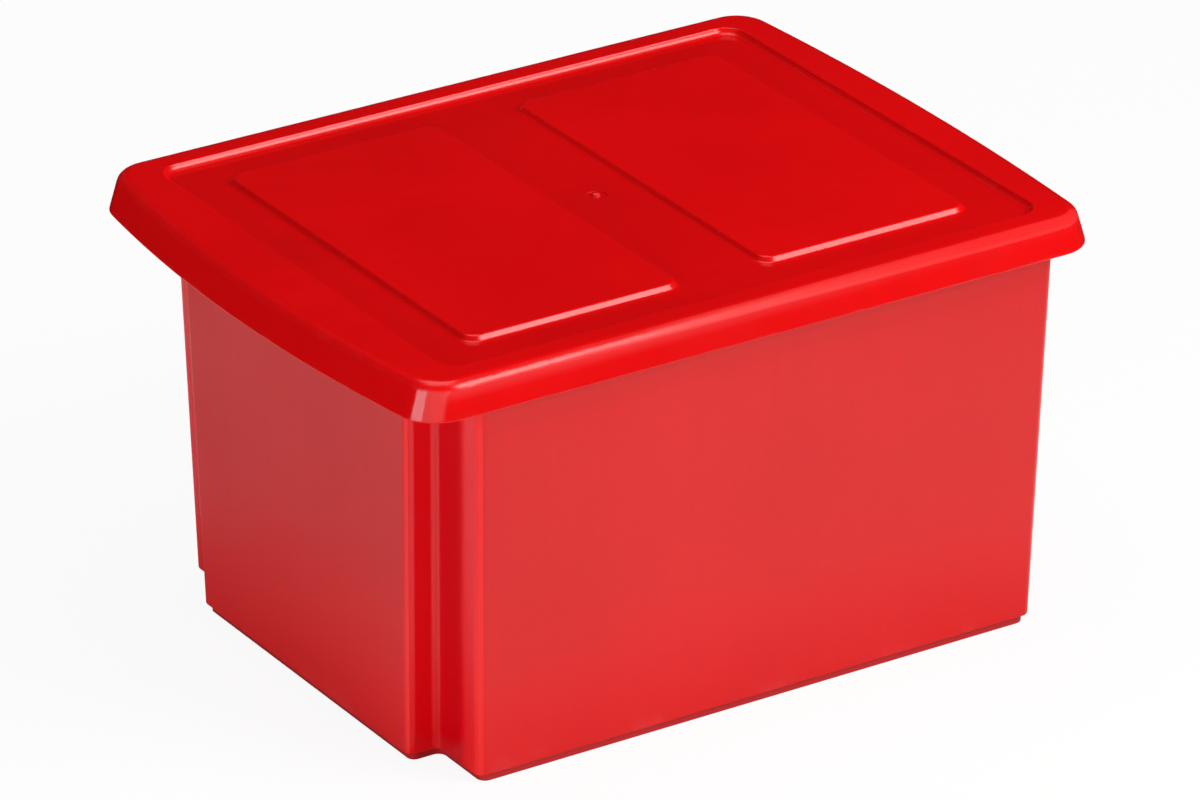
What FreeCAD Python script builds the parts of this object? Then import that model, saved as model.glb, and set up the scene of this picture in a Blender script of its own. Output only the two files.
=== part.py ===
import FreeCAD
import Part
import Sketcher
import math
import os

# A moulded plastic storage box: an open tub with two notched corners,
# and a lid that lifts off. Millimetres, +Z up, +X along the long side.
# The origin is the centre of the tub's base, on the surface it stands on.

doc = FreeCAD.newDocument("storage_box")

# Driving dimensions of the box
sizes = {
    "box_height": 268,
    "base_length": 404,
    "base_width": 321,
    "mouth_length": 414,
    "mouth_width": 341,
    "tub_wall": 2.2,
    "tub_floor": 2.5,
    "tub_corner": 6,
    "foot_height": 5,
    "foot_end_step": 3,
    "foot_side_step": 1.8,
    "foot_round": 1,
    "heel_round": 1.2,
    "floor_round": 3,
    "notch_depth": 20,
    "notch_width": 44,
    "notch_round": 5,
    "shelf_drop": 16,
    "flange_thickness": 2.4,
    "flange_end_reach": 10,
    "flange_side_reach": 6,
    "flange_corner": 18.5,
    "lip_drop": 18,
    "lip_wall": 2.2,
    "rim_round": 0.8,
    "left_bow": 15,
    "right_bow": 8,
    "rim_gap": 1,
    "crest_wall": 3.5,
    "lid_plate": 2,
    "lid_wall": 2,
    "skirt_drop": 22.5,
    "skirt_end_flare": 7,
    "skirt_side_flare": 2,
    "skirt_round": 0.7,
    "crest_round": 7.5,
    "plug_end_gap": 1,
    "plug_side_gap": 3.3,
    "field_depth": 4.2,
    "field_slope": 2,
    "field_corner": 12,
    "field_round": 1.2,
    "field_cove": 4.5,
    "panel_gap": 54,
    "panel_end_margin": 28.5,
    "panel_side_margin": 26.5,
    "panel_rise": 3.4,
    "panel_slope": 2.4,
    "panel_corner": 10,
    "panel_round": 2,
    "gate_ring_diameter": 13,
    "gate_ring_depth": 0.4,
    "gate_nib_diameter": 4,
    "gate_nib_height": 1.2,
}

sheet = doc.addObject("Spreadsheet::Sheet", "Sizes")
for row, (name, size) in enumerate(sizes.items(), start=1):
    sheet.set(f"A{row}", name)
    sheet.set(f"B{row}", str(size))
    sheet.setAlias(f"B{row}", name)
doc.recompute()


# Expressions on the sheet are built as text and bound to the model
def cell(name):
    return f"Sizes.{name}"


def half(name):
    return f"({cell(name)} / 2)"


def less(expression, *names):
    return "(" + expression + "".join(f" - {cell(name)}" for name in names) + ")"


def more(expression, *names):
    return "(" + expression + "".join(f" + {cell(name)}" for name in names) + ")"


def value(expression):
    return float(sheet.evalExpression(expression))


# An outline is a half length, a half width and a corner radius, shrunk or grown by named sizes
def inset(outline, *names):
    return tuple(less(size, *names) for size in outline)


def outset(outline, *names):
    return tuple(more(size, *names) for size in outline)


# Levels that several features share
lid_top = cell("box_height")
rim_top = less(lid_top, "lid_plate")
flange_under = less(rim_top, "flange_thickness")
lid_bottom = less(lid_top, "skirt_drop")
field_top = less(lid_top, "field_depth")
field_under = less(field_top, "lid_plate")
foot_inside = more(cell("foot_height"), "tub_wall")
shelf = less(rim_top, "shelf_drop")
shelf_inside = more(shelf, "tub_wall")

# Nested outlines round the mouth: the tub's flange, the lid's channel over it,
# the lid's crest and the foot of its skirt
flange = (
    more(half("mouth_length"), "flange_end_reach"),
    more(half("mouth_width"), "flange_side_reach"),
    cell("flange_corner"),
)
channel = outset(flange, "rim_gap")
crest = outset(channel, "crest_wall")
skirt_flares = ("skirt_end_flare", "skirt_side_flare", "skirt_side_flare")
skirt = tuple(more(size, flare) for size, flare in zip(crest, skirt_flares))

# The lid's sunken field drops into the tub's mouth
field = (
    less(half("mouth_length"), "tub_wall", "plug_end_gap", "lid_wall", "field_slope"),
    less(half("mouth_width"), "tub_wall", "plug_side_gap", "lid_wall", "field_slope"),
    cell("field_corner"),
)
panel_inner = half("panel_gap")
panel_outer = less(field[0], "panel_end_margin")
panel = (
    f"(({panel_outer} - {panel_inner}) / 2)",
    less(field[1], "panel_side_margin"),
    cell("panel_corner"),
)
panel_middle = f"(({panel_outer} + {panel_inner}) / 2)"


# The tub's drafted outer wall at a level
def wall_at(level):
    def half_at(direction):
        base, mouth = half(f"base_{direction}"), half(f"mouth_{direction}")
        return f"({base} + ({mouth} - {base}) * {level} / {rim_top})"

    return half_at("length"), half_at("width"), cell("tub_corner")


# The lid's flared skirt at a level
def skirt_at(level):
    drop = f"({lid_top} - {level}) / {cell('skirt_drop')}"
    return tuple(f"({size} + {cell(flare)} * {drop})" for size, flare in zip(crest, skirt_flares))


def new_body(label):
    body = doc.addObject("PartDesign::Body", label)
    body.Label = label
    return body


def new_sketch(body, name, level):
    sketch = body.newObject("Sketcher::SketchObject", name)
    planes = [item for item in body.Origin.OriginFeatures if item.Role == "XY_Plane"]
    sketch.AttachmentSupport = [(planes[0], "")]
    sketch.MapMode = "FlatFace"
    sketch.setExpression("AttachmentOffset.Base.z", level)
    return sketch


def bind(sketch, constraint, name, expression):
    index = sketch.addConstraint(constraint)
    sketch.renameConstraint(index, name)
    sketch.setExpression(f"Constraints.{name}", expression)


def point(x, y):
    return FreeCAD.Vector(x, y, 0)


def mirrored(place):
    return point(place.x, -place.y)


def arc_between(centre, radius, start, end):
    circle = Part.Circle(centre, FreeCAD.Vector(0, 0, 1), radius)
    return Part.ArcOfCircle(circle, circle.parameter(start), circle.parameter(end))


# A closed outline of level and upright sides with a round at each corner.
# Corners run anticlockwise, each an x, a y and a radius as expressions.
def square_outline(sketch, prefix, corners):
    count = len(corners)
    places = [point(value(x), value(y)) for x, y, radius in corners]
    radii = [value(radius) for x, y, radius in corners]
    ahead = [(places[(i + 1) % count] - places[i]).normalize() for i in range(count)]
    sides = []
    for i in range(count):
        start = places[i] + ahead[i] * radii[i]
        end = places[(i + 1) % count] - ahead[i] * radii[(i + 1) % count]
        side = sketch.addGeometry(Part.LineSegment(start, end))
        x, y, radius = corners[i]
        if abs(ahead[i].x) > abs(ahead[i].y):
            sketch.addConstraint(Sketcher.Constraint("Horizontal", side))
            place = Sketcher.Constraint("DistanceY", -1, 1, side, 1, start.y)
            bind(sketch, place, f"{prefix}_side{i}", y)
        else:
            sketch.addConstraint(Sketcher.Constraint("Vertical", side))
            place = Sketcher.Constraint("DistanceX", -1, 1, side, 1, start.x)
            bind(sketch, place, f"{prefix}_side{i}", x)
        sides.append(side)
    for i in range(count):
        start = places[i] - ahead[i - 1] * radii[i]
        end = places[i] + ahead[i] * radii[i]
        centre = start + ahead[i] * radii[i]
        turns_left = ahead[i - 1].cross(ahead[i]).z > 0
        first, last = (start, end) if turns_left else (end, start)
        way_in, way_out = (1, 2) if turns_left else (2, 1)
        arc = sketch.addGeometry(arc_between(centre, radii[i], first, last))
        sketch.addConstraint(Sketcher.Constraint("Tangent", sides[i - 1], 2, arc, way_in))
        sketch.addConstraint(Sketcher.Constraint("Tangent", arc, way_out, sides[i], 1))
        radius = Sketcher.Constraint("Radius", arc, radii[i])
        bind(sketch, radius, f"{prefix}_round{i}", corners[i][2])


def rectangle(sketch, prefix, outline, middle="0"):
    half_length, half_width, corner = outline
    left, right = f"({middle} - {half_length})", f"({middle} + {half_length})"
    front, back = f"(-{half_width})", half_width
    corners = [(left, front), (right, front), (right, back), (left, back)]
    square_outline(sketch, prefix, [(x, y, corner) for x, y in corners])


# The tub's outline, with a step at both corners of its left end.
# An outline shrunk by a wall keeps that wall even round the steps.
def notched(sketch, prefix, outline, *wall):
    half_length, half_width, corner = inset(outline, *wall)
    convex = less(cell("notch_round"), *wall)
    concave = more(cell("notch_round"), *wall)
    left, right = f"(-{half_length})", half_length
    front, back = f"(-{half_width})", half_width
    inner = more(left, "notch_depth")
    front_step = more(front, "notch_width")
    back_step = less(back, "notch_width")
    square_outline(sketch, prefix, [
        (inner, front, corner),
        (right, front, corner),
        (right, back, corner),
        (inner, back, corner),
        (inner, back_step, concave),
        (left, back_step, convex),
        (left, front_step, convex),
        (inner, front_step, concave),
    ])


# The lid's outline: straight long sides, ends that bow outwards, round corners.
# A bow's radius changes with its corners, so that nested outlines run parallel.
def bowed(sketch, prefix, outline):
    half_length, half_width, corner = outline
    width_now, corner_now = value(half_width), value(corner)
    radius, centre, middle, hub, touch = {}, {}, {}, {}, {}
    for side, sign in (("right", 1), ("left", -1)):
        bow = cell(f"{side}_bow")
        bow_at_skirt = f"(pow({skirt[1]}; 2) + pow({bow}; 2)) / (2 * {bow})"
        radius[side] = f"({bow_at_skirt} - {skirt[2]} + {corner})"
        centre[side] = f"({sign} * ({half_length} + {bow} - {radius[side]}))"
        middle[side] = point(value(centre[side]), 0)
        bow_radius = value(radius[side])
        rise = width_now - corner_now
        run = math.sqrt((bow_radius - corner_now) ** 2 - rise ** 2)
        spoke = point(sign * run, rise)
        hub[side] = middle[side] + spoke
        touch[side] = middle[side] + spoke * (bow_radius / (bow_radius - corner_now))

    def line(y, start, end):
        return Part.LineSegment(point(hub[start].x, y), point(hub[end].x, y))

    def bow_arc(side, start, end):
        return arc_between(middle[side], value(radius[side]), start, end)

    def corner_arc(place, start, end):
        return arc_between(place, corner_now, start, end)

    flat = {side: point(hub[side].x, width_now) for side in hub}
    chain = {
        "front": line(-width_now, "left", "right"),
        "front_right": corner_arc(mirrored(hub["right"]), mirrored(flat["right"]), mirrored(touch["right"])),
        "right": bow_arc("right", mirrored(touch["right"]), touch["right"]),
        "back_right": corner_arc(hub["right"], touch["right"], flat["right"]),
        "back": line(width_now, "right", "left"),
        "back_left": corner_arc(hub["left"], flat["left"], touch["left"]),
        "left": bow_arc("left", touch["left"], mirrored(touch["left"])),
        "front_left": corner_arc(mirrored(hub["left"]), mirrored(touch["left"]), mirrored(flat["left"])),
    }
    piece = {name: sketch.addGeometry(shape) for name, shape in chain.items()}
    order = list(piece.values())
    for before, after in zip(order, order[1:] + order[:1]):
        sketch.addConstraint(Sketcher.Constraint("Tangent", before, 2, after, 1))
    for name, sign in (("front", -1), ("back", 1)):
        sketch.addConstraint(Sketcher.Constraint("Horizontal", piece[name]))
        place = Sketcher.Constraint("DistanceY", -1, 1, piece[name], 1, sign * width_now)
        bind(sketch, place, f"{prefix}_{name}", f"({sign} * {half_width})")
    for name in ("front_right", "back_right", "back_left", "front_left"):
        bind(sketch, Sketcher.Constraint("Radius", piece[name], corner_now), f"{prefix}_{name}", corner)
    for side in ("right", "left"):
        sketch.addConstraint(Sketcher.Constraint("PointOnObject", piece[side], 3, -1))
        bow_radius = Sketcher.Constraint("Radius", piece[side], value(radius[side]))
        bind(sketch, bow_radius, f"{prefix}_{side}_bow", radius[side])
        place = Sketcher.Constraint("DistanceX", -1, 1, piece[side], 3, middle[side].x)
        bind(sketch, place, f"{prefix}_{side}_centre", centre[side])


def circle(sketch, prefix, diameter):
    shape = Part.Circle(point(0, 0), FreeCAD.Vector(0, 0, 1), value(diameter) / 2)
    ring = sketch.addGeometry(shape)
    sketch.addConstraint(Sketcher.Constraint("Coincident", ring, 3, -1, 1))
    size = Sketcher.Constraint("Diameter", ring, value(diameter))
    bind(sketch, size, f"{prefix}_diameter", diameter)


# Features
def extrude(body, kind, name, sketch, length, upwards):
    feature = body.newObject(f"PartDesign::{kind}", name)
    feature.Profile = sketch
    feature.setExpression("Length", length)
    feature.Reversed = upwards if kind == "Pocket" else not upwards
    doc.recompute()
    return feature


def loft(body, kind, name, first, second):
    feature = body.newObject(f"PartDesign::{kind}", name)
    feature.Profile = first
    feature.Sections = [second]
    feature.Ruled = True
    doc.recompute()
    return feature


def fillet(body, name, radius, wanted):
    base = body.Tip
    edges = [f"Edge{i}" for i, edge in enumerate(base.Shape.Edges, start=1) if wanted(edge)]
    feature = body.newObject("PartDesign::Fillet", name)
    feature.Base = (base, edges)
    feature.setExpression("Radius", cell(radius))
    doc.recompute()
    return feature


# Whether an edge lies flat at a level
def at_level(edge, level):
    box = edge.BoundBox
    near = 0.01
    return abs(box.ZMin - value(level)) < near and abs(box.ZMax - value(level)) < near


# How far an edge reaches from the middle of the box, as a share of two half sizes
def reach(edge, half_length, half_width):
    box = edge.BoundBox
    return max(
        max(abs(box.XMin), abs(box.XMax)) / value(half_length),
        max(abs(box.YMin), abs(box.YMax)) / value(half_width),
    )


def outside(edge, half_length, half_width):
    return reach(edge, half_length, half_width) > 1


def build_tub():
    body = new_body("tub")

    # Drafted walls up to the shelves that close the notches, with a round at the heel
    def wall_outline(name, level, *wall):
        sketch = new_sketch(body, name, level)
        notched(sketch, name, wall_at(level), *wall)
        return sketch

    wall_top = wall_outline("wall_top", shelf)
    wall_bottom = wall_outline("wall_bottom", cell("foot_height"))
    loft(body, "AdditiveLoft", "walls", wall_top, wall_bottom)
    fillet(body, "heel_edge", "heel_round", lambda edge: at_level(edge, cell("foot_height")))

    # Foot: the step under the walls that the box stands on
    foot = (
        less(half("base_length"), "foot_end_step"),
        less(half("base_width"), "foot_side_step"),
        cell("tub_corner"),
    )
    foot_outline = new_sketch(body, "foot_outline", "0")
    notched(foot_outline, "foot", foot)
    extrude(body, "Pad", "foot", foot_outline, cell("foot_height"), True)

    # Collar: the same walls without notches, from the shelves to the mouth
    def collar_outline(name, level, *wall):
        sketch = new_sketch(body, name, level)
        rectangle(sketch, name, inset(wall_at(level), *wall))
        return sketch

    collar_bottom = collar_outline("collar_bottom", shelf)
    collar_top = collar_outline("collar_top", rim_top)
    loft(body, "AdditiveLoft", "collar", collar_bottom, collar_top)

    # Flange round the mouth, with a lip that turns down inside the lid's skirt
    flange_outline = new_sketch(body, "flange_outline", flange_under)
    bowed(flange_outline, "flange", flange)
    extrude(body, "Pad", "flange", flange_outline, cell("flange_thickness"), True)
    lip_outline = new_sketch(body, "lip_outline", flange_under)
    bowed(lip_outline, "lip_outer", flange)
    bowed(lip_outline, "lip_inner", inset(flange, "lip_wall"))
    extrude(body, "Pad", "lip", lip_outline, less(cell("lip_drop"), "flange_thickness"), False)

    # The hollow: floor, walls and mouth
    floor = new_sketch(body, "floor_outline", cell("tub_floor"))
    notched(floor, "floor", foot, "tub_wall")
    floor_rise = less(foot_inside, "tub_floor")
    extrude(body, "Pocket", "floor_hollow", floor, floor_rise, True)
    hollow_bottom = wall_outline("hollow_bottom", foot_inside, "tub_wall")
    hollow_top = wall_outline("hollow_top", shelf_inside, "tub_wall")
    loft(body, "SubtractiveLoft", "hollow", hollow_bottom, hollow_top)
    mouth_bottom = collar_outline("mouth_bottom", shelf_inside, "tub_wall")
    mouth_top = collar_outline("mouth_top", rim_top, "tub_wall")
    loft(body, "SubtractiveLoft", "mouth", mouth_bottom, mouth_top)

    # Rounded edges: the foot's outer edge, the floor's inner edge and the rim's outer edge
    fillet(body, "foot_edge", "foot_round", lambda edge: at_level(edge, "0"))
    fillet(body, "floor_edge", "floor_round", lambda edge: at_level(edge, cell("tub_floor")))

    def on_rim(edge):
        return at_level(edge, rim_top) and outside(edge, half("mouth_length"), half("mouth_width"))

    fillet(body, "rim_edge", "rim_round", on_rim)
    return body


def build_lid():
    body = new_body("lid")

    # Outer form: a skirt that flares downwards under a rounded crest
    def skirt_outline(name, level, *wall):
        sketch = new_sketch(body, name, level)
        bowed(sketch, name, inset(skirt_at(level), *wall))
        return sketch

    crest_outline = skirt_outline("crest", lid_top)
    skirt_bottom = skirt_outline("skirt_bottom", lid_bottom)
    loft(body, "AdditiveLoft", "outer_form", crest_outline, skirt_bottom)
    fillet(body, "crest_edge", "crest_round", lambda edge: at_level(edge, lid_top))
    fillet(body, "skirt_edge", "skirt_round", lambda edge: at_level(edge, lid_bottom))

    # Sunken field inside a raised border, with a cove at its foot
    def field_outline(name, level, *slope):
        sketch = new_sketch(body, name, level)
        rectangle(sketch, name, outset(field, *slope))
        return sketch

    field_floor = field_outline("field_floor", field_top)
    field_rim = field_outline("field_rim", lid_top, "field_slope")
    loft(body, "SubtractiveLoft", "field", field_floor, field_rim)

    def on_field(edge, level):
        half_length, half_width = outset(field[:2], "field_slope", "field_round")
        return at_level(edge, level) and not outside(edge, half_length, half_width)

    fillet(body, "field_edge", "field_round", lambda edge: on_field(edge, lid_top))
    fillet(body, "field_foot", "field_cove", lambda edge: on_field(edge, field_top))

    # Two raised panels side by side on the field, with soft edges
    panel_top = more(field_top, "panel_rise")

    def panel_outline(name, level, middle, *slope):
        sketch = new_sketch(body, name, level)
        rectangle(sketch, name, inset(panel, *slope), middle)
        return sketch

    for side, middle in (("left", f"(-{panel_middle})"), ("right", panel_middle)):
        panel_foot = panel_outline(f"{side}_panel_foot", field_top, middle)
        panel_face = panel_outline(f"{side}_panel_face", panel_top, middle, "panel_slope")
        loft(body, "AdditiveLoft", f"{side}_panel", panel_foot, panel_face)

    def on_panel(edge):
        half_length, half_width = more(panel_outer, "panel_round"), more(panel[1], "panel_round")
        level = at_level(edge, panel_top) or at_level(edge, field_top)
        return level and not outside(edge, half_length, half_width)

    fillet(body, "panel_edge", "panel_round", on_panel)

    # Moulding gate: a small nib in a shallow round recess
    recess = new_sketch(body, "gate_recess_outline", field_top)
    circle(recess, "recess", cell("gate_ring_diameter"))
    extrude(body, "Pocket", "gate_recess", recess, cell("gate_ring_depth"), False)
    nib = new_sketch(body, "gate_nib_outline", less(field_top, "gate_ring_depth"))
    circle(nib, "nib", cell("gate_nib_diameter"))
    extrude(body, "Pad", "gate_nib", nib, cell("gate_nib_height"), True)

    # Underside: hollow skirt, a channel over the tub's rim, and hollow panels
    hollow_bottom = skirt_outline("skirt_hollow_bottom", lid_bottom, "lid_wall")
    hollow_top = skirt_outline("skirt_hollow_top", field_under, "lid_wall")
    loft(body, "SubtractiveLoft", "skirt_hollow", hollow_bottom, hollow_top)
    channel_outline = new_sketch(body, "channel_outline", field_under)
    bowed(channel_outline, "channel_outer", channel)
    rectangle(channel_outline, "channel_inner", outset(field, "field_slope", "lid_wall"))
    extrude(body, "Pocket", "channel", channel_outline, cell("field_depth"), True)
    for side, middle in (("left", f"(-{panel_middle})"), ("right", panel_middle)):
        hollow = panel_outline(f"{side}_panel_under", field_under, middle, "panel_slope", "lid_wall")
        extrude(body, "Pocket", f"{side}_panel_hollow", hollow, cell("panel_rise"), True)
    return body


pieces = [build_tub(), build_lid()]
doc.recompute()

for item in doc.Objects:
    if "Invalid" in item.State or "Error" in item.State:
        raise RuntimeError(f"{item.Label} failed: {item.State}")
for piece in pieces:
    if piece.Shape.isNull() or not piece.Shape.isValid() or len(piece.Shape.Solids) != 1:
        raise RuntimeError(f"{piece.Label} is not one sound solid")

os.makedirs("parts", exist_ok=True)
for piece in pieces:
    piece.Shape.exportStep(f"parts/{piece.Label}.step")
    box = piece.Shape.BoundBox
    print(piece.Label, "volume", round(piece.Shape.Volume), "mm3, box", box)
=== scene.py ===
import bpy
import math
from mathutils import Matrix, Vector

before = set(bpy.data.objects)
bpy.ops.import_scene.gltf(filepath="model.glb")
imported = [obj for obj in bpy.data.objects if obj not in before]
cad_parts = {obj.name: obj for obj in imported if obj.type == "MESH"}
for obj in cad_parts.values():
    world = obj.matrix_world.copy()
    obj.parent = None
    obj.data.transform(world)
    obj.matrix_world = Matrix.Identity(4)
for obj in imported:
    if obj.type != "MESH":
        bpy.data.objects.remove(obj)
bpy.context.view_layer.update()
print("frame loaded:", ", ".join(sorted(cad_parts)))


# A socket that can be added, multiplied and so on like a number
class Wire:
    def __init__(self, finish, socket):
        self.finish, self.socket = finish, socket

    def maths(self, operation, first, second):
        return self.finish.add("ShaderNodeMath", {"operation": operation}, {0: first, 1: second})

    def __add__(self, other):
        return self.maths("ADD", self, other)

    def __radd__(self, other):
        return self.maths("ADD", other, self)

    def __sub__(self, other):
        return self.maths("SUBTRACT", self, other)

    def __rsub__(self, other):
        return self.maths("SUBTRACT", other, self)

    def __mul__(self, other):
        return self.maths("MULTIPLY", self, other)

    def __rmul__(self, other):
        return self.maths("MULTIPLY", other, self)

    def __abs__(self):
        return self.maths("ABSOLUTE", self, 0)


# The nodes of a material or of the world, and the one way they are added
class Finish:
    def __init__(self, owner):
        self.owner = owner
        self.owner.use_nodes = True
        self.tree = owner.node_tree

    def add(self, kind, settings=None, sockets=None, output=0):
        node = self.tree.nodes.new(kind)
        for name, setting in (settings or {}).items():
            setattr(node, name, setting)
        for name, given in (sockets or {}).items():
            self.feed(node.inputs[name], given)
        return Wire(self, node.outputs[output])

    def feed(self, socket, given):
        if isinstance(given, Wire):
            self.tree.links.new(given.socket, socket)
        else:
            socket.default_value = given

    # Sets a node that Blender put there itself, and gives what comes out of it
    def start(self, kind, sockets):
        node = self.tree.nodes[kind]
        for name, given in sockets.items():
            self.feed(node.inputs[name], given)
        return Wire(self, node.outputs[0])

    def show(self, kind, shader):
        self.feed(self.tree.nodes[kind].inputs["Surface"], shader)

    def vector(self, operation, first, second=(0, 0, 0), output=0):
        sockets = {0: first, 1: second}
        return self.add("ShaderNodeVectorMath", {"operation": operation}, sockets, output)

    def parts(self, vector):
        split = self.add("ShaderNodeSeparateXYZ", sockets={0: vector}).socket.node
        return [Wire(self, output) for output in split.outputs]

    def noise(self, place, scale, detail=2):
        sockets = {"Vector": place, "Scale": scale, "Detail": detail}
        return self.add("ShaderNodeTexNoise", sockets=sockets)

    # 0 below one value, 1 above another and smooth between them
    def rise(self, value, low, high):
        sockets = {"Value": value, "From Min": low, "From Max": high}
        return self.add("ShaderNodeMapRange", {"interpolation_type": "SMOOTHSTEP"}, sockets)

    # 1 below one value, 0 above another and smooth between them
    def fall(self, value, low, high):
        return 1 - self.rise(value, low, high)

    # Noise that is turned and pulled out into hairs
    def scratches(self, place, turn, stretch, spread):
        sockets = {"Vector": place, "Rotation": turn, "Scale": stretch}
        turned = self.add("ShaderNodeMapping", sockets=sockets)
        return self.rise(self.noise(turned, 1), *spread)

    def blend(self, factor, first, second):
        sockets = {0: factor, 6: first, 7: second}
        return self.add("ShaderNodeMix", {"data_type": "RGBA"}, sockets, 2)

    def bump(self, height, depth, under=None):
        sockets = {"Height": height, "Distance": depth}
        if under:
            sockets["Normal"] = under
        return self.add("ShaderNodeBump", sockets=sockets)


cameraSettings = {
    "lens": 255,  # mm
    "sensor": 36,  # mm
    "azimuth": -32.6,  # degrees, minus is left of the front
    "elevation": 25.38,
    "distance": 5.0476,
    "aside": 0.0021,
    "rise": 0.1196,
    "sight": 50,  # m, what is further off is cut away
}


def placeCamera(settings):
    turn, tilt = math.radians(settings["azimuth"]), math.radians(settings["elevation"])
    right = Vector((math.cos(turn), math.sin(turn), 0))
    outward = Vector((math.sin(turn), -math.cos(turn), 0))
    back = outward * math.cos(tilt) + Vector((0, 0, math.sin(tilt)))
    up = back.cross(right)
    camera = bpy.data.objects.new("camera", bpy.data.cameras.new("camera"))
    camera.data.sensor_width = settings["sensor"]
    camera.data.lens = settings["lens"]
    camera.data.clip_end = settings["sight"]
    camera.matrix_world = Matrix((right, up, back)).transposed().to_4x4()
    camera.location = (
        right * settings["aside"] + up * settings["rise"] + back * settings["distance"]
    )
    bpy.context.collection.objects.link(camera)
    bpy.context.scene.camera = camera


placeCamera(cameraSettings)
print("camera placed")

# The floor is white paper. Its reflection in the plastic is strongest a hand's breadth from the box
# and dies out further off, as on a lit sheet in a dark room.
floorSettings = {
    "size": 30,
    "white": (0.9, 0.9, 0.9, 1),
    "unlit": (0.005, 0.005, 0.005, 1),
    "roughness": 0.9,
    "shine": 0.2,  # specular level
    "glow": 0.92,  # share of even white that hides the far shadows
    "footprint": (0.2, 0.16, 0),  # m, half the box's foot
    "dim at box": 0.5,
    "bright from": 0.13,  # m from the footprint, as are the next two
    "bright to": 0.42,
    "dark from": 0.5,
}


def layFloor(settings):
    bpy.ops.object.select_all(action="DESELECT")
    bpy.ops.mesh.primitive_plane_add(size=settings["size"])
    floor = bpy.context.object
    floor.name = "floor"
    paper = Finish(bpy.data.materials.new("paper"))
    lit = paper.start("Principled BSDF", {
        "Base Color": settings["white"],
        "Roughness": settings["roughness"],
        "Specular IOR Level": settings["shine"],
    })
    unlit = paper.add("ShaderNodeBsdfDiffuse", sockets={"Color": settings["unlit"]})
    even = paper.add("ShaderNodeEmission", sockets={"Color": (1, 1, 1, 1)})
    place = paper.vector("ABSOLUTE", paper.add("ShaderNodeTexCoord", output="Object"))
    outside = paper.vector("MAXIMUM", paper.vector("SUBTRACT", place, settings["footprint"]))
    gap = paper.vector("LENGTH", outside, output="Value")
    near = paper.fall(gap, 0, settings["bright from"]) * settings["dim at box"]
    far = paper.rise(gap, settings["bright to"], settings["dark from"])
    mirrored = paper.add("ShaderNodeLightPath", output="Is Glossy Ray") * (near + far)
    glow = paper.add("ShaderNodeLightPath", output="Is Camera Ray") * settings["glow"]
    dimmed = paper.add("ShaderNodeMixShader", sockets={0: mirrored, 1: lit, 2: unlit})
    shown = paper.add("ShaderNodeMixShader", sockets={0: glow, 1: dimmed, 2: even})
    paper.show("Material Output", shown)
    floor.data.materials.append(paper.owner)


layFloor(floorSettings)

# Sizes are in metres and powers in watts
softboxes = {
    "key": {
        "place": (1.13, -1.63, 1.82),
        "target": (0, 0, 0.26),
        "size": (1.45, 1.3),
        "power": 60,
        "colour": (1, 0.97, 0.93),
    },
    "belowKey": {
        "place": (1.4, -2.1, 0.85),
        "target": (0, 0, 0.26),
        "size": (1.3, 0.7),
        "power": 2.6,
        "colour": (1, 0.97, 0.95),
    },
    "left": {
        "place": (-2.0, -0.4, 0.45),
        "target": (0, 0, 0.2),
        "size": (0.9, 0.8),
        "power": 12.5,
        "colour": (0.93, 0.96, 1),
    },
    "overhead": {
        "place": (-0.2, 0.1, 2.4),
        "target": (0, 0, 0),
        "size": (1.6, 1.6),
        "power": 21,
    },
    "frontLeft": {
        "place": (-1.5, -1.8, 0.6),
        "target": (0, 0, 0.2),
        "size": (2.6, 1.2),
        "power": 14.5,
    },
    "back": {
        "place": (0.5, 2.3, 0.5),
        "target": (0, 0, 0.15),
        "size": (1.6, 0.8),
        "power": 12,
        "mirrored": False,  # only fills the shade, and the gloss doesn't show it
    },
}


def hangSoftbox(name, place, target, size, power, colour=(1, 1, 1), mirrored=True):
    lamp = bpy.data.lights.new(name, "AREA")
    lamp.shape = "RECTANGLE"
    lamp.size, lamp.size_y = size
    lamp.energy = power
    lamp.color = colour
    light = bpy.data.objects.new(name, lamp)
    bpy.context.collection.objects.link(light)
    light.location = place
    light.rotation_euler = (Vector(target) - Vector(place)).to_track_quat("-Z", "Y").to_euler()
    light.visible_camera = False
    light.visible_glossy = mirrored


for name, setting in softboxes.items():
    hangSoftbox(name, **setting)

roomSettings = {
    "dark": (0.01, 0.01, 0.01, 1),  # what the box sees of the room
    "pale": (0.9, 0.9, 0.9, 1),  # what the camera sees past the floor's edge
}


def paintRoom(settings):
    room = Finish(bpy.data.worlds.new("room"))
    dark = room.start("Background", {"Color": settings["dark"]})
    pale = room.add("ShaderNodeBackground", sockets={"Color": settings["pale"]})
    seen = room.add("ShaderNodeLightPath", output="Is Camera Ray")
    either = room.add("ShaderNodeMixShader", sockets={0: seen, 1: dark, 2: pale})
    room.show("World Output", either)
    bpy.context.scene.world = room.owner
    bpy.context.scene.view_settings.view_transform = "Standard"


paintRoom(roomSettings)
print("floor, lights and room set")

# How much of a surface a noise pattern covers, shared by both plastics
pigmentSpread = (0.36, 0.62)
smearSpread = (0.42, 0.7)

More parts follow.
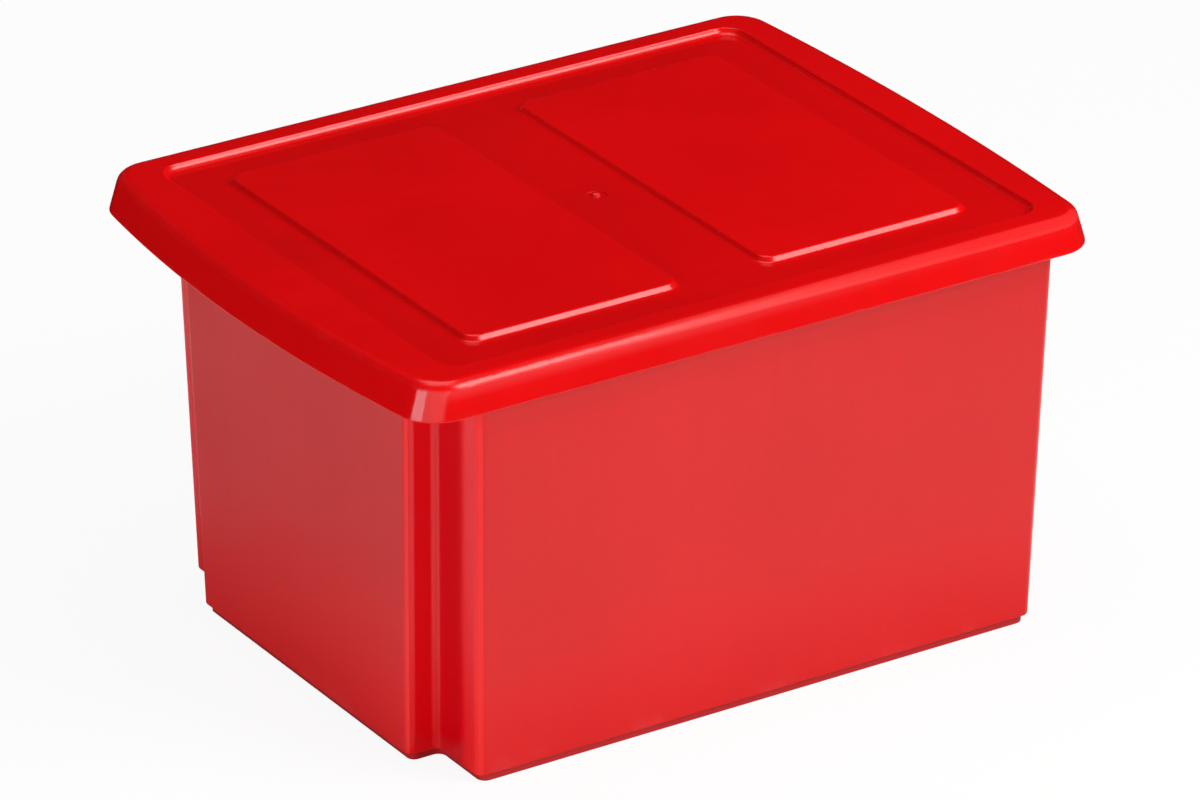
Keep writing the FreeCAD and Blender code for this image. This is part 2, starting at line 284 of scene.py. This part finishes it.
# A pair gives where a tone starts and where it is full, in metres
lidSettings = {
    "red": (0.725, 0.0027, 0.0037, 1),
    "darker red": (0.575, 0.0021, 0.003, 1),  # pigment clouds, and painted shade on the sunken field and the skirt ends
    "rubbed red": (0.82, 0.035, 0.035, 1),  # worn edges
    "painted sheen red": (0.73, 0.03, 0.034, 1),  # painted sheen on the long skirts, just under the crest
    "stressed red": (0.85, 0.05, 0.055, 1),  # the torn tip of the gate
    "gloss": 0.1,
    "shine": 0.39,  # specular level
    "peel": 0.000012,  # m, depth of the orange peel
    "warp": 0.00006,  # m, slow waves in the flat faces
    "dull crest": (-0.2, 0.18),  # along X, the front crest goes from bright to rubbed
    "crest reach": (0.168, 0.173),  # out to the front
    "sheen fade": (-0.12, 0.2),  # along X, the painted sheen dies out
    "sheen height": (0.2553, 0.2638),
    "panel height": (0.2645, 0.2665),  # flat faces lower than this are the sunken field
    "foot height": (0.246, 0.2485),
    "gate tip": (0.0016, 0.0026),  # out from the gate
    "gate blush": (0.008, 0.026),
}


def lidPlastic(settings):
    plastic = Finish(bpy.data.materials.new("lidPlastic"))
    place = plastic.add("ShaderNodeTexCoord", output="Object")
    normal = plastic.add("ShaderNodeTexCoord", output="Normal")
    x, y, z = plastic.parts(place)
    endways, sideways, level = plastic.parts(normal)

    # Plastic flows out from the gate in the middle, so its streaks are spokes
    flat = plastic.vector("MULTIPLY", place, (1, 1, 0))
    fromGate = plastic.vector("LENGTH", flat, output="Value")
    spokes = plastic.vector("MULTIPLY", plastic.vector("NORMALIZE", flat), (9, 9, 0))
    drift = plastic.vector("MULTIPLY", flat, (4, 4, 0))
    streaks = plastic.noise(plastic.vector("ADD", spokes, drift), 1.6, 3)
    clouds = plastic.noise(place, 7, 4)
    pigment = plastic.rise(clouds * 0.85 + streaks * 0.15, *pigmentSpread)
    blush = plastic.fall(fromGate, *settings["gate blush"])

    # The sunken field between the panels and the skirt's two ends get painted shade, mixed with the
    # denser pigment
    sunk = plastic.rise(level, 0.9, 0.98) * plastic.fall(z, *settings["panel height"])
    ends = plastic.rise(abs(endways), 0.6, 0.9)
    pigmentAndShade = pigment * 0.4 + sunk * 0.4 + ends * 0.4 + blush * 0.1
    colour = plastic.blend(pigmentAndShade, settings["red"], settings["darker red"])

    # Painted sheen: the long skirts are paler just under the crest, fading out along X
    skirt = plastic.rise(abs(sideways), 0.8, 0.95) * plastic.fall(level, 0.5, 0.8)
    paintedSheen = skirt * plastic.rise(z, *settings["sheen height"])
    paintedSheen = paintedSheen * (1 - plastic.rise(x, *settings["sheen fade"]) * 0.9)
    colour = plastic.blend(paintedSheen * 0.9, colour, settings["painted sheen red"])

    # Edges wear in patches: the slopes and the foot of the skirt
    patches = plastic.rise(plastic.noise(place, 55, 4), 0.5, 0.66)
    sloped = plastic.rise(level, 0.3, 0.5) * plastic.fall(level, 0.88, 0.98)
    foot = plastic.fall(z, *settings["foot height"])
    worn = patches * (sloped * 0.1 + foot * 0.6)
    colour = plastic.blend(worn * 0.35, colour, settings["rubbed red"])
    tip = plastic.fall(fromGate, *settings["gate tip"])
    colour = plastic.blend(tip, colour, settings["stressed red"])

    # Handling leaves smears and hairline scratches in the gloss, and rubs the front crest dull
    smears = plastic.rise(plastic.noise(place, 16, 5), *smearSpread)
    hairs = plastic.scratches(place, (0, 0, 0.5), (5, 420, 60), (0.7, 0.76))
    hairs = hairs * plastic.rise(clouds, 0.45, 0.6)
    crest = plastic.rise(level, 0.15, 0.35) * plastic.fall(level, 0.93, 0.99)
    crest = crest * plastic.rise(0 - y, *settings["crest reach"])
    rubbed = crest * plastic.rise(x, *settings["dull crest"])
    roughness = settings["gloss"] + smears * 0.04 + hairs * 0.12 + worn * 0.1 + blush * 0.05
    roughness = roughness + sloped * 0.15 + rubbed * 0.6

    warped = plastic.bump(plastic.noise(place, 11, 1), settings["warp"])
    peeled = plastic.bump(plastic.noise(place, 520) - hairs * 0.5, settings["peel"], warped)
    plastic.start("Principled BSDF", {
        "Base Color": colour,
        "Roughness": roughness,
        "Normal": peeled,
        "Specular IOR Level": settings["shine"],
    })
    return plastic.owner


tubSettings = {
    "red": (0.61, 0.0042, 0.005, 1),
    "darker red": (0.56, 0.003, 0.004, 1),
    "painted light red": (0.86, 0.012, 0.012, 1),  # painted highlight on the outer corners, painted light under the lip
    "painted floor light red": (0.72, 0.0045, 0.0065, 1),  # painted floor light, low on the walls
    "painted notch light red": (0.8, 0.0005, 0.005, 1),  # painted light and a painted red-in-red reflection inside the notches
    # painted shade on the innermost end faces of the notches
    "painted notch shade red": (0.58, 0.0005, 0.005, 1),
    "foot red": (0.46, 0.011, 0.013, 1),  # the foot, in the shade of the heel
    "rubbed red": (0.74, 0.05, 0.05, 1),  # worn edges and scuffs
    "satin": 0.27,
    "shine": 0.41,  # specular level
    "grain": 0.000014,  # m, depth of the fine moulded grain
    "draw": 0.00001,  # m, depth of the draw marks up the walls
    "warp": 0.0002,  # m, slow waves in the walls
    "corner reach": (0.215, 0.221),  # corners further out than this are convex
    "corner draft": 0.0392,  # the reach grows up the walls, as the two below do
    "end draft": 0.0188,
    "side draft": 0.0376,
    "notch end": (0.1803, 0.1815),  # out to the left end
    "notch side": (0.1147, 0.116),  # out to the front and back
    "notch mouth": (0.138, 0.148),
    "notch top": (0.2455, 0.2475),
    "foot height": (0.0035, 0.006),
    "heel height": (0.006, 0.02),
    "low height": (0.01, 0.14),
    "painted lip light": (0.224, 0.2455),  # painted light under the lip, offsetting the lid's cast shadow
    "lip edge": (0.246, 0.248),
    "outside": (0, 0.05),  # faces that look away from the middle
}


def tubPlastic(settings):
    plastic = Finish(bpy.data.materials.new("tubPlastic"))
    place = plastic.add("ShaderNodeTexCoord", output="Object")
    normal = plastic.add("ShaderNodeTexCoord", output="Normal")
    x, y, z = plastic.parts(place)
    endways, sideways, level = plastic.parts(normal)

    # Upright streaks where the tub was drawn out of its mould
    tall = plastic.vector("MULTIPLY", place, (150, 150, 2.5))
    streaks = plastic.noise(tall, 1, 3)
    clouds = plastic.noise(place, 5, 4)
    pigment = plastic.rise(clouds * 0.8 + streaks * 0.2, *pigmentSpread)
    colour = plastic.blend(pigment * 0.8, settings["red"], settings["darker red"])

    # Painted light: the walls are brighter near the floor, the ends most, and outside just under
    # the lip, where it offsets the lid's cast shadow
    flat = plastic.vector("MULTIPLY", place, (1, 1, 0))
    outward = plastic.vector("DOT_PRODUCT", flat, normal, "Value")
    low = plastic.fall(z, *settings["low height"])
    low = low * (plastic.rise(abs(endways), 0.5, 0.9) * 0.65 + 0.35)
    paintedLipLight = plastic.rise(z, *settings["painted lip light"]) * plastic.fall(z, *settings["lip edge"])
    paintedLipLight = paintedLipLight * plastic.rise(outward, *settings["outside"])
    colour = plastic.blend(low, colour, settings["painted floor light red"])
    colour = plastic.blend(paintedLipLight * 0.9, colour, settings["painted light red"])

    # Inside the notches the red gets painted light, and painted shade on the innermost end faces
    toEnd = 0 - x - z * settings["end draft"]
    toSide = abs(y) - z * settings["side draft"]
    notch = plastic.rise(toEnd, *settings["notch end"])
    notch = notch * plastic.rise(toSide, *settings["notch side"])
    notch = notch * plastic.fall(z, *settings["notch top"])
    innermost = plastic.rise(abs(endways), 0.3, 0.8)
    innermost = innermost * plastic.fall(toSide, *settings["notch mouth"])
    notchPaint = plastic.blend(innermost, settings["painted notch light red"], settings["painted notch shade red"])
    colour = plastic.blend(notch, colour, notchPaint)

    # The outer upright corners get a painted highlight, a brighter red
    convex = plastic.rise(outward - z * settings["corner draft"], *settings["corner reach"])
    corners = plastic.rise(abs(endways * sideways) * 2, 0.35, 0.95) * convex
    colour = plastic.blend(corners * 0.95, colour, settings["painted light red"])

    # The heel and the corners wear in patches, and the walls pick up hairline scratches
    patches = plastic.rise(plastic.noise(place, 48, 4), 0.5, 0.68)
    heel = plastic.fall(z, *settings["heel height"])
    worn = patches * (heel * 0.7 + corners * 0.25)
    hairs = plastic.scratches(place, (0.5, 0.35, 0), (60, 60, 520), (0.69, 0.75))
    hairs = hairs * plastic.rise(clouds, 0.42, 0.6)
    colour = plastic.blend(worn * 0.3 + hairs * 0.05, colour, settings["rubbed red"])
    foot = plastic.fall(z, *settings["foot height"]) * plastic.fall(level, 0.2, 0.5)
    colour = plastic.blend(foot, colour, settings["foot red"])

    smears = plastic.rise(plastic.noise(place, 13, 5), *smearSpread)
    roughness = settings["satin"] + smears * 0.06 + streaks * 0.05 + hairs * 0.08 + worn * 0.1
    roughness = roughness - notch * 0.16

    warped = plastic.bump(plastic.noise(place, 8, 1), settings["warp"])
    drawn = plastic.bump(streaks, settings["draw"], warped)
    grained = plastic.bump(plastic.noise(place, 900) - hairs * 0.4, settings["grain"], drawn)
    plastic.start("Principled BSDF", {
        "Base Color": colour,
        "Roughness": roughness,
        "Normal": grained,
        "Specular IOR Level": settings["shine"],
    })
    return plastic.owner


def dress(name, material):
    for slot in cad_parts[name].material_slots:
        slot.material = material


dress("lid", lidPlastic(lidSettings))
dress("tub", tubPlastic(tubSettings))
print("plastics set")
